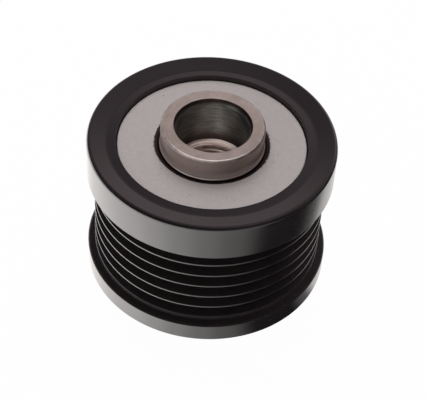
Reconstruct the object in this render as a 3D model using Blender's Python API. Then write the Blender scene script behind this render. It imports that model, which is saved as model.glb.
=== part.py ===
"""Overrunning alternator pulley for a six-ribbed belt, standing on its front rim.

The grooved ring turns on two needle bearings round a threaded hub, and a roller clutch between
the bearings carries the drive one way only. The hub's rear end, which meets the alternator, points
up along +Z. The origin is the centre of the front rim, and all lengths are in metres.
"""

import math

import bmesh
import bpy
from mathutils import Matrix

# Facets round a turn, and the play that keeps neighbouring pieces apart
RIM_FACETS = 56
SEAL_FACETS = 36
CAGE_FACETS = 42
FACETS_PER_RAMP = 8
LOCKING_FACETS = 2
ROLLER_FACETS = 10
FIT_GAP = 0.00003
RUNNING_GAP = 0.0003

# Belt face of the ring
FLANGE_RADIUS = 0.02885
CREST_RADIUS = 0.0271
GROOVE_COUNT = 6
GROOVE_PITCH = 0.00356
GROOVE_DEPTH = 0.0032
GROOVE_ANGLE = math.radians(40)
CREST_FLAT = 0.00045
FLANGE_WALL_ANGLE = math.radians(17)
FLANGE_CHAMFER = 0.0004
FRONT_FLANGE_WIDTH = 0.0052
FRONT_LAND_WIDTH = 0.00097
REAR_LAND_WIDTH = 0.00035
REAR_FLANGE_WIDTH = 0.00975

# Rear face of the ring
RIM_CHAMFER = 0.0006
DISH_DEPTH = 0.0009
REAR_BAND_WIDTH = 0.00208
REAR_BAND_DROP = 0.0001

# Front recess, where a dust cap would snap in
CAP_RECESS_STEP = 0.0008
CAP_RECESS_DEPTH = 0.0048
CAP_GROOVE_DEPTH = 0.0004
CAP_GROOVE_WIDTH = 0.0012
CAP_GROOVE_INSET = 0.0018
RECESS_CHAMFER = 0.0005

# Hub, from the shaft seat outwards
COUNTERBORE_RADIUS = 0.0085
COUNTERBORE_DEPTH = 0.0123
COUNTERBORE_CHAMFER = 0.0005
COUNTERBORE_STEP = 0.00131
HUB_WALL = 0.0031
COLLAR_STEP = 0.0004
COLLAR_LENGTH = 0.0059
HUB_PROUD = 0.0038
HUB_FRONT_INSET = 0.0015
HUB_CHAMFER = 0.0005
SOCKET_TEETH = 33
SOCKET_TOOTH_DEPTH = 0.0006
SOCKET_STEP = 0.00121
SOCKET_DEPTH = 0.0095

# Needle bearings and their raceway
NEEDLE_COUNT = 14
NEEDLE_DIAMETER = 0.003
NEEDLE_PLAY = 0.00005
CUP_WALL = 0.0022
CAGE_PLAY = 0.0003
CAGE_RING_WIDTH = 0.0007
POCKET_PLAY = 0.00015

# Roller clutch
CLUTCH_ROLLER_COUNT = 8
CLUTCH_LENGTH = 0.0074
CLUTCH_ROLLER_DIAMETER = 0.003
WEDGE_ANGLE = math.radians(8)
SPRING_THICKNESS = 0.0002
SPRING_SPACE = 0.0024
SPRING_HEIGHT = 0.0016

# Thrust rings
THRUST_RING_WIDTH = 0.0012
THRUST_RING_OVERLAP = 0.0016

# Shaft seals
SEAL_SHEET = 0.0010
REAR_SEAL_RADIUS = 0.0218
REAR_SEAL_INSET = 0.0019
REAR_SEAL_HEIGHT = 0.0042
REAR_SEAL_LEAD_IN = 0.00032
FRONT_SEAL_STEP = 0.0015
FRONT_SEAL_HEIGHT = 0.0026
LIP_REACH = 0.00125
LIP_WIDTH = 0.0016
LIP_PLAY = 0.00006

# Places along the axis, from the front rim to the rear
groove_band_width = GROOVE_COUNT * GROOVE_PITCH - CREST_FLAT
flange_step = FLANGE_RADIUS - FLANGE_CHAMFER - CREST_RADIUS
flange_wall_run = flange_step * math.tan(FLANGE_WALL_ANGLE)
groove_band_start = FRONT_FLANGE_WIDTH + flange_wall_run + FRONT_LAND_WIDTH
groove_band_end = groove_band_start + groove_band_width
rear_flange_start = groove_band_end + REAR_LAND_WIDTH + flange_wall_run
rim_height = rear_flange_start + REAR_FLANGE_WIDTH
rear_band_height = rim_height - DISH_DEPTH - REAR_BAND_DROP
rear_seal_top = rim_height - REAR_SEAL_INSET
rear_seal_foot = rear_seal_top - REAR_SEAL_HEIGHT
rear_shoulder = rear_seal_foot - RUNNING_GAP
front_seal_foot = CAP_RECESS_DEPTH
front_seal_top = front_seal_foot + FRONT_SEAL_HEIGHT
front_shoulder = front_seal_top + RUNNING_GAP
front_thrust_start = front_shoulder + RUNNING_GAP
rear_thrust_end = rear_shoulder - RUNNING_GAP
cup_start = front_thrust_start + THRUST_RING_WIDTH + RUNNING_GAP
cup_end = rear_thrust_end - THRUST_RING_WIDTH - RUNNING_GAP
hub_top = rim_height + HUB_PROUD
hub_front = HUB_FRONT_INSET
collar_start = hub_top - COLLAR_LENGTH

# The clutch takes the middle of the cup, and a needle bearing fills each end
clutch_start = (cup_start + cup_end - CLUTCH_LENGTH) / 2
clutch_end = clutch_start + CLUTCH_LENGTH
bearing_width = clutch_start - cup_start - 2 * RUNNING_GAP
front_bearing_middle = cup_start + RUNNING_GAP + bearing_width / 2
rear_bearing_middle = cup_end - RUNNING_GAP - bearing_width / 2

# Radii that follow from the fits, from the shaft seat outwards
thread_minor_radius = COUNTERBORE_RADIUS - COUNTERBORE_STEP
tooth_tip_radius = thread_minor_radius + SOCKET_STEP
tooth_root_radius = tooth_tip_radius + SOCKET_TOOTH_DEPTH
journal_radius = COUNTERBORE_RADIUS + HUB_WALL
collar_radius = journal_radius + COLLAR_STEP
raceway_radius = journal_radius + NEEDLE_DIAMETER + 2 * NEEDLE_PLAY
needle_pitch_radius = (journal_radius + raceway_radius) / 2
cup_radius = raceway_radius + CUP_WALL
clutch_pitch_radius = journal_radius + NEEDLE_PLAY + CLUTCH_ROLLER_DIAMETER / 2
clutch_seat_radius = clutch_pitch_radius + CLUTCH_ROLLER_DIAMETER / 2 + NEEDLE_PLAY
ramp_facets = CLUTCH_ROLLER_COUNT * FACETS_PER_RAMP
ramp_step = 2 * math.pi / ramp_facets * clutch_pitch_radius * math.tan(WEDGE_ANGLE)
ramp_low_radius = clutch_seat_radius - LOCKING_FACETS * ramp_step
ring_bore_radius = cup_radius + FIT_GAP
thrust_ring_radius = raceway_radius + THRUST_RING_OVERLAP
seal_edge_radius = collar_radius + LIP_REACH
front_seal_radius = cup_radius + FRONT_SEAL_STEP
cap_recess_radius = front_seal_radius + CAP_RECESS_STEP
groove_root_radius = CREST_RADIUS - GROOVE_DEPTH


def clear_scene():
    for thing in list(bpy.data.objects):
        bpy.data.objects.remove(thing, do_unlink=True)


def finish(name, colour, metallic, roughness):
    """A plain Principled material."""
    made = bpy.data.materials.new(name)
    made.use_nodes = True
    shader = made.node_tree.nodes["Principled BSDF"]
    shader.inputs["Base Color"].default_value = (*colour, 1)
    shader.inputs["Metallic"].default_value = metallic
    shader.inputs["Roughness"].default_value = roughness
    made.diffuse_color = (*colour, 1)
    return made


def around(radius, facets):
    """The corner radius of a faceted bore whose flats stay clear of a circle."""
    return radius / math.cos(math.pi / facets)


def place(name, mesh, material, parent=None, location=(0, 0, 0), turn=0):
    """Adds a mesh to the scene as one named piece."""
    piece = bpy.data.objects.new(name, mesh)
    bpy.context.scene.collection.objects.link(piece)
    if not mesh.materials:
        mesh.materials.append(material)
    piece.parent = parent
    piece.location = location
    piece.rotation_euler.z = turn
    return piece


def mesh_of(form, name, smooth_angle=math.radians(30)):
    """Closes a bmesh into a mesh with its faces out and its round sides smooth."""
    bmesh.ops.recalc_face_normals(form, faces=form.faces)
    if form.calc_volume(signed=True) < 0:
        bmesh.ops.reverse_faces(form, faces=form.faces)
    mesh = bpy.data.meshes.new(name)
    form.to_mesh(mesh)
    form.free()
    mesh.shade_smooth()
    mesh.set_sharp_from_angle(angle=smooth_angle)
    return mesh


def turned(name, section, facets, material):
    """Spins a closed section of (radius, height) corners round the Z axis."""
    form = bmesh.new()
    corners = [form.verts.new((radius, 0, height)) for radius, height in section]
    edges = [form.edges.new(pair) for pair in zip(corners, corners[1:] + corners[:1])]
    bmesh.ops.spin(
        form,
        geom=corners + edges,
        axis=(0, 0, 1),
        cent=(0, 0, 0),
        angle=2 * math.pi,
        steps=facets,
        use_merge=True,
    )
    return place(name, mesh_of(form, name), material)


def lofted(name, stations, facets, material):
    """Joins rings of points into a closed sleeve. A station's radius depends on the point's number."""
    form = bmesh.new()
    rings = []
    for radius_at, height in stations:
        ring = []
        for number in range(facets):
            turn = 2 * math.pi * number / facets
            radius = radius_at(number)
            ring.append(form.verts.new((radius * math.cos(turn), radius * math.sin(turn), height)))
        rings.append(ring)
    for ring, following in zip(rings, rings[1:] + rings[:1]):
        for number in range(facets):
            after = (number + 1) % facets
            form.faces.new((ring[number], ring[after], following[after], following[number]))
    return place(name, mesh_of(form, name), material)


def steady(radius):
    """The radius of a round station in a loft."""
    return lambda number: radius


def groove_corners():
    """The six V grooves, as corners from the front to the rear."""
    flank_run = GROOVE_DEPTH * math.tan(GROOVE_ANGLE / 2)
    corners = []
    for number in range(GROOVE_COUNT):
        start = groove_band_start + number * GROOVE_PITCH
        end = start + GROOVE_PITCH - CREST_FLAT
        corners += [
            (CREST_RADIUS, start),
            (groove_root_radius, start + flank_run),
            (groove_root_radius, end - flank_run),
            (CREST_RADIUS, end),
        ]
    return corners


def belt_face_corners():
    """The outside of the ring, from the front rim up to the rear rim."""
    flank = FLANGE_RADIUS - FLANGE_CHAMFER
    front = [
        (flank, 0),
        (FLANGE_RADIUS, FLANGE_CHAMFER),
        (FLANGE_RADIUS, FRONT_FLANGE_WIDTH - FLANGE_CHAMFER),
        (flank, FRONT_FLANGE_WIDTH),
        (CREST_RADIUS, FRONT_FLANGE_WIDTH + flange_wall_run),
    ]
    rear = [
        (CREST_RADIUS, groove_band_end + REAR_LAND_WIDTH),
        (flank, rear_flange_start),
        (FLANGE_RADIUS, rear_flange_start + FLANGE_CHAMFER),
        (FLANGE_RADIUS, rim_height - RIM_CHAMFER),
        (FLANGE_RADIUS - RIM_CHAMFER, rim_height),
    ]
    return front + groove_corners() + rear


def bore_corners():
    """The inside of the ring, from the rear rim down to the front rim."""
    rear_seal_bore = around(REAR_SEAL_RADIUS + FIT_GAP, RIM_FACETS)
    lead_in = rear_seal_bore + REAR_SEAL_LEAD_IN
    clutch_bore = around(ring_bore_radius, RIM_FACETS)
    front_seal_bore = around(front_seal_radius + FIT_GAP, RIM_FACETS)
    recess = around(cap_recess_radius, RIM_FACETS)
    groove_middle = CAP_GROOVE_INSET + CAP_GROOVE_WIDTH / 2
    return [
        (lead_in + REAR_BAND_WIDTH, rim_height - DISH_DEPTH),
        (lead_in, rear_band_height),
        (lead_in, rear_seal_top - REAR_SEAL_LEAD_IN),
        (rear_seal_bore, rear_seal_top - 2 * REAR_SEAL_LEAD_IN),
        (rear_seal_bore, rear_shoulder),
        (clutch_bore, rear_shoulder),
        (clutch_bore, front_shoulder),
        (front_seal_bore, front_shoulder),
        (front_seal_bore, CAP_RECESS_DEPTH),
        (recess, CAP_RECESS_DEPTH),
        (recess, groove_middle + CAP_GROOVE_WIDTH / 2),
        (recess + CAP_GROOVE_DEPTH, groove_middle),
        (recess, CAP_GROOVE_INSET),
        (recess, RECESS_CHAMFER),
        (recess + RECESS_CHAMFER, 0),
    ]


def make_ring(material):
    return turned("pulley_ring", belt_face_corners() + bore_corners(), RIM_FACETS, material)


def make_hub(material):
    """The hub, with a toothed socket at the front and a counterbore at the rear."""
    facets = 2 * SOCKET_TEETH
    socket_end = hub_front + SOCKET_DEPTH
    counterbore_floor = hub_top - COUNTERBORE_DEPTH
    floor_run = COUNTERBORE_STEP / math.sqrt(3)

    def toothed(number):
        return tooth_root_radius if number % 2 else tooth_tip_radius

    stations = [
        (steady(journal_radius - HUB_CHAMFER), hub_front),
        (steady(journal_radius), hub_front + HUB_CHAMFER),
        (steady(journal_radius), collar_start - COLLAR_STEP),
        (steady(collar_radius), collar_start),
        (steady(collar_radius), hub_top - HUB_CHAMFER),
        (steady(collar_radius - HUB_CHAMFER), hub_top),
        (steady(COUNTERBORE_RADIUS + COUNTERBORE_CHAMFER), hub_top),
        (steady(COUNTERBORE_RADIUS), hub_top - COUNTERBORE_CHAMFER),
        (steady(COUNTERBORE_RADIUS), counterbore_floor),
        (steady(thread_minor_radius), counterbore_floor - floor_run),
        (steady(thread_minor_radius), socket_end + SOCKET_STEP),
        (steady(tooth_tip_radius), socket_end),
        (toothed, socket_end),
        (toothed, hub_front + SOCKET_TOOTH_DEPTH),
        (steady(tooth_root_radius), hub_front),
    ]
    return lofted("hub", stations, facets, material)


def make_cup(material):
    """The drawn sleeve, with a plain raceway at each end and wedge ramps between them."""
    raceway = around(raceway_radius, ramp_facets)
    seat = around(clutch_seat_radius, ramp_facets)

    def ramped(number):
        step = (number + LOCKING_FACETS) % FACETS_PER_RAMP - LOCKING_FACETS
        return seat + step * ramp_step

    stations = [
        (steady(cup_radius - FLANGE_CHAMFER), cup_start),
        (steady(cup_radius), cup_start + FLANGE_CHAMFER),
        (steady(cup_radius), cup_end - FLANGE_CHAMFER),
        (steady(cup_radius - FLANGE_CHAMFER), cup_end),
        (steady(raceway), cup_end),
        (steady(raceway), clutch_end),
        (ramped, clutch_end),
        (ramped, clutch_start),
        (steady(raceway), clutch_start),
        (steady(raceway), cup_start),
    ]
    return lofted("clutch_cup", stations, ramp_facets, material)


def box(form, low, high, turn):
    """Adds a box between two corners, turned about the Z axis."""
    centre = [(first + second) / 2 for first, second in zip(low, high)]
    size = [second - first for first, second in zip(low, high)]
    place_it = Matrix.Rotation(turn, 4, "Z") @ Matrix.Translation(centre)
    bmesh.ops.create_cube(form, size=1, matrix=place_it @ Matrix.Diagonal((*size, 1)))


def make_cage(name, outer, width, count, pocket, material):
    """A moulded cage: a ring with pockets cut through it, each given by its two tangential sides."""
    inner = around(journal_radius + CAGE_PLAY, CAGE_FACETS)
    ring = [(outer, -width / 2), (outer, width / 2), (inner, width / 2), (inner, -width / 2)]
    cage = turned(name, ring, CAGE_FACETS, material)
    reach = width / 2 - CAGE_RING_WIDTH
    form = bmesh.new()
    for number in range(count):
        low = (inner - CAGE_RING_WIDTH, pocket[0], -reach)
        high = (outer + CAGE_RING_WIDTH, pocket[1], reach)
        box(form, low, high, 2 * math.pi * number / count)
    cutter = place(name + "_pockets", mesh_of(form, name + "_pockets"), material, parent=cage)
    cutter.hide_render = True
    cutter.display_type = "WIRE"
    cut = cage.modifiers.new("pockets", "BOOLEAN")
    cut.operation = "DIFFERENCE"
    cut.solver = "EXACT"
    cut.object = cutter
    return cage


def roller_mesh(name, diameter, length):
    """A needle with its end edges broken, standing on the Z axis at the origin."""
    form = bmesh.new()
    bmesh.ops.create_cone(
        form,
        cap_ends=True,
        segments=ROLLER_FACETS,
        radius1=diameter / 2,
        radius2=diameter / 2,
        depth=length,
    )
    return mesh_of(form, name)


def make_bearing(end, middle, cage_material, needle_material):
    """A needle bearing: its cage, and the needles parented to it in their pockets."""
    half_pocket = NEEDLE_DIAMETER / 2 + POCKET_PLAY
    pocket = (-half_pocket, half_pocket)
    outer = raceway_radius - CAGE_PLAY
    cage = make_cage(end + "_bearing_cage", outer, bearing_width, NEEDLE_COUNT, pocket, cage_material)
    cage.location.z = middle
    length = bearing_width - 2 * (CAGE_RING_WIDTH + POCKET_PLAY)
    mesh = roller_mesh(end + "_needle", NEEDLE_DIAMETER, length)
    for number in range(NEEDLE_COUNT):
        turn = 2 * math.pi * number / NEEDLE_COUNT
        centre = (needle_pitch_radius * math.cos(turn), needle_pitch_radius * math.sin(turn), 0)
        place(f"{end}_needle_{number + 1:02d}", mesh, needle_material, parent=cage, location=centre)


def spring_mesh(name, start, end, length):
    """A folded strip spring, zigzag between two tangential places, extruded along the axis."""
    run = (end - start) / 3
    slope = math.atan2(SPRING_HEIGHT, run)
    across = SPRING_THICKNESS / math.cos(slope)
    inner = clutch_pitch_radius - (SPRING_HEIGHT + across) / 2
    outer = inner + SPRING_HEIGHT
    folds = [(inner, start), (outer, start + run), (inner, start + 2 * run), (outer, end)]
    outline = folds + [(radius + across, side) for radius, side in reversed(folds)]
    form = bmesh.new()
    corners = [form.verts.new((radius, side, -length / 2)) for radius, side in outline]
    face = form.faces.new(corners)
    raised = bmesh.ops.extrude_face_region(form, geom=[face])
    moved = [item for item in raised["geom"] if isinstance(item, bmesh.types.BMVert)]
    bmesh.ops.translate(form, verts=moved, vec=(0, 0, length))
    return mesh_of(form, name)


def make_clutch(cage_material, roller_material, spring_material):
    """The one-way clutch: its cage, fixed to the cup, with a roller and a spring in each pocket."""
    reach = CLUTCH_ROLLER_DIAMETER / 2
    pocket = (-reach - POCKET_PLAY, reach + POCKET_PLAY + SPRING_SPACE)
    width = CLUTCH_LENGTH - 2 * POCKET_PLAY
    outer = ramp_low_radius - CAGE_PLAY
    cage = make_cage("clutch_cage", outer, width, CLUTCH_ROLLER_COUNT, pocket, cage_material)
    cage.location.z = (clutch_start + clutch_end) / 2
    length = width - 2 * (CAGE_RING_WIDTH + POCKET_PLAY)
    roller = roller_mesh("clutch_roller", CLUTCH_ROLLER_DIAMETER, length)
    spring = spring_mesh("clutch_spring", reach + POCKET_PLAY, pocket[1] - POCKET_PLAY, length)
    for number in range(CLUTCH_ROLLER_COUNT):
        turn = 2 * math.pi * number / CLUTCH_ROLLER_COUNT
        centre = (clutch_pitch_radius * math.cos(turn), clutch_pitch_radius * math.sin(turn), 0)
        place(f"clutch_roller_{number + 1}", roller, roller_material, parent=cage, location=centre, turn=turn)
        place(f"clutch_spring_{number + 1}", spring, spring_material, parent=cage, turn=turn)


def make_thrust_ring(name, start, material):
    """A hardened ring pressed on the hub, which traps the cup endways."""
    inner = around(journal_radius + FIT_GAP, SEAL_FACETS)
    section = [
        (thrust_ring_radius, start),
        (thrust_ring_radius, start + THRUST_RING_WIDTH),
        (inner, start + THRUST_RING_WIDTH),
        (inner, start),
    ]
    return turned(name, section, SEAL_FACETS, material)


def make_seal(end, radius, outer_face, height, inward, material, rubber):
    """A pressed seal case with a rubber lip. inward is 1 where the case is sunk towards +Z, else -1."""
    inner = around(seal_edge_radius, SEAL_FACETS)
    wall = around(radius - SEAL_SHEET, SEAL_FACETS)
    case = [
        (radius - REAR_SEAL_LEAD_IN, 0),
        (radius, REAR_SEAL_LEAD_IN),
        (radius, height),
        (wall, height),
        (wall, SEAL_SHEET),
        (inner, SEAL_SHEET),
        (inner, 0),
    ]
    touch = around(journal_radius + LIP_PLAY, SEAL_FACETS)
    shade = around(collar_radius + LIP_PLAY, SEAL_FACETS)
    root = seal_edge_radius - FIT_GAP
    lip = [
        (root, FIT_GAP),
        (root, LIP_WIDTH - SEAL_SHEET / 2),
        (root - SEAL_SHEET / 2, LIP_WIDTH),
        (touch, LIP_WIDTH),
        (touch, LIP_WIDTH - SEAL_SHEET / 4),
        (root - SEAL_SHEET / 2, SEAL_SHEET),
        (root - SEAL_SHEET / 2, SEAL_SHEET / 2),
        (shade, SEAL_SHEET / 2),
        (shade, SEAL_SHEET / 4),
    ]
    for name, section, stuff in (("shield", case, material), ("lip", lip, rubber)):
        corners = [(edge, outer_face + inward * depth) for edge, depth in section]
        turned(f"{end}_seal_{name}", corners, SEAL_FACETS, stuff)


def build():
    clear_scene()
    coated_steel = finish("black coated steel", (0.02, 0.018, 0.019), 0.0, 0.38)
    hub_steel = finish("machined hub steel", (0.42, 0.35, 0.33), 1.0, 0.4)
    race_steel = finish("hardened race steel", (0.5, 0.5, 0.5), 1.0, 0.25)
    roller_steel = finish("bearing roller steel", (0.6, 0.6, 0.6), 1.0, 0.15)
    spring_steel = finish("spring steel strip", (0.45, 0.43, 0.4), 1.0, 0.3)
    cage_plastic = finish("glass filled cage plastic", (0.5, 0.42, 0.28), 0.0, 0.5)
    seal_sheet = finish("grey seal case", (0.36, 0.32, 0.33), 0.2, 0.6)
    seal_rubber = finish("black seal rubber", (0.012, 0.011, 0.011), 0.0, 0.7)

    make_ring(coated_steel)
    make_hub(hub_steel)
    make_cup(race_steel)
    make_clutch(cage_plastic, roller_steel, spring_steel)
    make_bearing("front", front_bearing_middle, cage_plastic, roller_steel)
    make_bearing("rear", rear_bearing_middle, cage_plastic, roller_steel)
    make_thrust_ring("front_thrust_ring", front_thrust_start, race_steel)
    make_thrust_ring("rear_thrust_ring", rear_thrust_end - THRUST_RING_WIDTH, race_steel)
    make_seal("rear", REAR_SEAL_RADIUS, rear_seal_top, REAR_SEAL_HEIGHT, -1, seal_sheet, seal_rubber)
    make_seal("front", front_seal_radius, front_seal_foot, FRONT_SEAL_HEIGHT, 1, seal_sheet, seal_rubber)


build()
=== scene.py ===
# %% [markdown]
# # An overrunning alternator pulley
#
# A ribbed belt turns the black ring, and the bare steel hub is screwed to the shaft of the alternator.
# Between them sit two needle bearings and a roller clutch, which lets the alternator run on when the
# engine slows down. The pulley stands on its narrow front flange, with the alternator's side up.
#
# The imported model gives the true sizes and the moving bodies. This lesson builds finely finished pieces
# in the same places, gives every piece its real finish, and lights them as in a small photo studio.

import math

import bmesh
import bpy
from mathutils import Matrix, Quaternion, Vector


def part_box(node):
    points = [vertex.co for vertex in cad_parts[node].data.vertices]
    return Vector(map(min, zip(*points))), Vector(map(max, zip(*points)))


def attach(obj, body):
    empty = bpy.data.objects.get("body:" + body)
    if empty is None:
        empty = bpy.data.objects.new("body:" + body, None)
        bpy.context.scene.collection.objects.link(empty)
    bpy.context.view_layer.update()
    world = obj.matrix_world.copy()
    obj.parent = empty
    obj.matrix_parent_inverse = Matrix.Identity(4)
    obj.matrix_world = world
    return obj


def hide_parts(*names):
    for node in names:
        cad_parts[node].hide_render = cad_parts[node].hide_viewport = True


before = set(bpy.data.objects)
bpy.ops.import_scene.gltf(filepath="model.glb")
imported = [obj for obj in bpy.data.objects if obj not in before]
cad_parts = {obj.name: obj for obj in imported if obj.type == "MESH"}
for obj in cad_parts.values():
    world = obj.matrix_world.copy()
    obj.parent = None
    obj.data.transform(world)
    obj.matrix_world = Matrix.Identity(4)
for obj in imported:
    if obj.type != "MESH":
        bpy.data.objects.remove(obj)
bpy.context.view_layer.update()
MM = 0.001
TURN = 2 * math.pi

# %% [markdown]
# ## The camera
#
# The photograph looks down on the pulley at a little under 46 degrees from about a third of a metre,
# and the camera leans a little to one side. The belt grooves, whose spacing is a standard, gave these
# values: their lines were matched to the photograph, and the camera that fits them best was kept.

# %% Camera
VIEW_DOWN = math.radians(45.776)
VIEW_LEAN = math.radians(3.752)
VIEW_DISTANCE = 343.53 * MM
VIEW_TARGET = Vector((1.166, 0, 17.44)) * MM
LENS_MM = 121.29

towards_camera = Vector((0, -math.cos(VIEW_DOWN), math.sin(VIEW_DOWN)))
bpy.ops.object.camera_add(location=VIEW_TARGET + VIEW_DISTANCE * towards_camera)
camera = bpy.context.object
camera.rotation_mode = "QUATERNION"
level_view = towards_camera.to_track_quat("Z", "Y")
camera.rotation_quaternion = level_view @ Quaternion((0, 0, 1), VIEW_LEAN)
camera.data.lens = LENS_MM
camera.data.clip_start = 10 * MM
camera.data.clip_end = 10
bpy.context.scene.camera = camera
print("The camera stands at", [round(side, 3) for side in camera.location])

# %% [markdown]
# ## Turning on a lathe
#
# Nearly every piece of this pulley is turned, so it is the same all the way round. The outline of one
# side is drawn as on the workshop drawing: one vertex is extruded from corner to corner, each corner is
# rounded by its own amount with a vertex bevel, and the outline is spun once round the Z axis. The
# doubles are merged and the normals recalculated, because a spin can leave the seam open or the skin
# inside out. A Weighted Normal modifier keeps the wide faces flat next to their small roundings.

# %% Selecting
TOUCH = 0.001 * MM


def pick(piece):
    """Selects one piece alone and makes it the active one."""
    bpy.ops.object.select_all(action="DESELECT")
    piece.select_set(True)
    bpy.context.view_layer.objects.active = piece


def select_vertices(wanted):
    """Selects the vertices of the mesh in edit mode whose place passes the test."""
    form = bmesh.from_edit_mesh(bpy.context.object.data)
    form.select_mode = {"VERT"}
    for vertex in form.verts:
        vertex.select = wanted(vertex.co)
    form.select_flush_mode()
    bmesh.update_edit_mesh(bpy.context.object.data)


print("A vertex is found by its place to within", round(TOUCH / MM, 4), "mm")

# %% Drawing an outline
ROUND_STEPS = 3


def draw_outline(name, corners, closed=True):
    """Draws an outline of (radius, height, rounding) corners in millimetres, in edit mode."""
    bpy.ops.object.select_all(action="DESELECT")
    bpy.ops.mesh.primitive_plane_add(size=MM)
    bpy.context.object.name = bpy.context.object.data.name = name
    bpy.ops.object.mode_set(mode="EDIT")
    bpy.ops.mesh.select_mode(type="VERT")
    bpy.ops.mesh.merge(type="CENTER")
    places = [Vector((radius, 0, height)) * MM for radius, height, rounding in corners]
    bpy.ops.transform.translate(value=places[0])
    for place, following in zip(places, places[1:]):
        bpy.ops.mesh.extrude_vertices_move(TRANSFORM_OT_translate={"value": following - place})
    if closed:
        select_vertices(lambda spot: min((spot - end).length for end in (places[0], places[-1])) < TOUCH)
        bpy.ops.mesh.edge_face_add()
    for amount in sorted({rounding for radius, height, rounding in corners if rounding}):
        round_here = [place for place, corner in zip(places, corners) if corner[2] == amount]
        select_vertices(lambda spot: min((spot - place).length for place in round_here) < TOUCH)
        bpy.ops.mesh.bevel(affect="VERTICES", offset=amount * MM, segments=ROUND_STEPS)
    bpy.ops.mesh.select_all(action="SELECT")


print("A rounded corner has", ROUND_STEPS, "edges")

# %% Turning and smoothing
SMOOTH_ANGLE = math.radians(30)


def close_shell():
    """Merges doubles, turns the faces outwards and leaves edit mode."""
    bpy.ops.mesh.select_all(action="SELECT")
    bpy.ops.mesh.remove_doubles(threshold=TOUCH / 10)
    bpy.ops.mesh.normals_make_consistent(inside=False)
    bpy.ops.object.mode_set(mode="OBJECT")


def smooth(piece):
    """Shades the round sides smooth and keeps the flat faces flat."""
    pick(piece)
    bpy.ops.object.shade_smooth_by_angle(angle=SMOOTH_ANGLE)
    bpy.ops.object.modifier_add(type="WEIGHTED_NORMAL")
    piece.modifiers[-1].keep_sharp = True
    bpy.ops.object.modifier_apply(modifier=piece.modifiers[-1].name)


def turn_piece(name, corners, steps, closed=True):
    """Spins an outline of (radius, height, rounding) corners into a closed turned piece."""
    draw_outline(name, corners, closed)
    bpy.ops.mesh.spin(steps=steps, angle=TURN, center=(0, 0, 0), axis=(0, 0, 1))
    close_shell()
    return bpy.context.object


print("Edges under", round(math.degrees(SMOOTH_ANGLE)), "degrees are shaded smooth")

# %% [markdown]
# ### Handing over
#
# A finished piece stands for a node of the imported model. It rides on that node's body, so that it moves
# with it at every joint, and it is kept under the name of its finish until the finishes are made.

# %% Handing over
made_of = {}


def hand_over(piece, body, slot, *nodes):
    """Lets a finished piece stand for CAD nodes, ride on their body and take their finish."""
    made_of.setdefault(slot, []).append(piece)
    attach(piece, body)
    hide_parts(*nodes)
    print(piece.name, "has", len(piece.data.polygons), "faces and rides on", body)


print("A finished piece is handed over with its body, its slot and the nodes that it stands for.")

# %% [markdown]
# ## The grooved ring
#
# The ring is one turned piece of steel. Outside it has six V grooves of 40 degrees, 3.56 mm apart, which
# is the standard for ribbed belts, between a narrow front flange and a wide rear flange. Its rear face
# slopes down inwards and rises a little again towards the seal, and its front recess has a groove for a
# snap-in cap. The crests and roots of the grooves are rounded, because a sharp crest would cut the belt.

# %% Ring outline, outside
flange_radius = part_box("pulley_ring")[1].x / MM
rim_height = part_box("pulley_ring")[1].z / MM
CREST_RADIUS = 27.1
GROOVE_ROOT = 23.9
GROOVE_COUNT = 6
GROOVE_PITCH = 3.56
CREST_FLAT = 0.45
GROOVES_START = 6.583
FLANGE_SLOPE = math.tan(math.radians(17))
FLANK_SLOPE = math.tan(math.radians(20))
CREST_ROUND, ROOT_ROUND = 0.14, 0.3

flank_run = (CREST_RADIUS - GROOVE_ROOT) * FLANK_SLOPE
grooves = []
for number in range(GROOVE_COUNT):
    start = GROOVES_START + number * GROOVE_PITCH
    end = start + GROOVE_PITCH - CREST_FLAT
    grooves += [
        (CREST_RADIUS, start, CREST_ROUND),
        (GROOVE_ROOT, start + flank_run, ROOT_ROUND),
        (GROOVE_ROOT, end - flank_run, ROOT_ROUND),
        (CREST_RADIUS, end, CREST_ROUND),
    ]
grooves_end = grooves[-1][1]
print("The grooves run from", GROOVES_START, "to", round(grooves_end, 2), "mm")

# %% Ring outline, flanges and rear face
FLANGE_CHAMFER = 0.4
FRONT_FLANGE = 5.2
REAR_FLANGE = 9.75
REAR_LAND = 0.35
RIM_CHAMFER = 0.62
RIM_ROUND = 0.4
EDGE_ROUND = 0.12
DISH_RADIUS = 24.264
DISH_DEPTH = 0.9
DISH_ROUND = 0.4

chamfered = flange_radius - FLANGE_CHAMFER
wall_run = (chamfered - CREST_RADIUS) * FLANGE_SLOPE
front_flange = [
    (chamfered, 0, EDGE_ROUND),
    (flange_radius, FLANGE_CHAMFER, EDGE_ROUND),
    (flange_radius, FRONT_FLANGE - FLANGE_CHAMFER, EDGE_ROUND),
    (chamfered, FRONT_FLANGE, EDGE_ROUND),
    (CREST_RADIUS, FRONT_FLANGE + wall_run, EDGE_ROUND),
]
rear_foot = rim_height - REAR_FLANGE
rear_flange = [
    (CREST_RADIUS, grooves_end + REAR_LAND, EDGE_ROUND),
    (chamfered, rear_foot, EDGE_ROUND),
    (flange_radius, rear_foot + FLANGE_CHAMFER, EDGE_ROUND),
    (flange_radius, rim_height - RIM_CHAMFER, RIM_ROUND),
    (flange_radius - RIM_CHAMFER, rim_height, RIM_ROUND),
    (DISH_RADIUS, rim_height - DISH_DEPTH, DISH_ROUND),
]
print("The flanges are", REAR_FLANGE, "and", FRONT_FLANGE, "mm wide")

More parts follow.
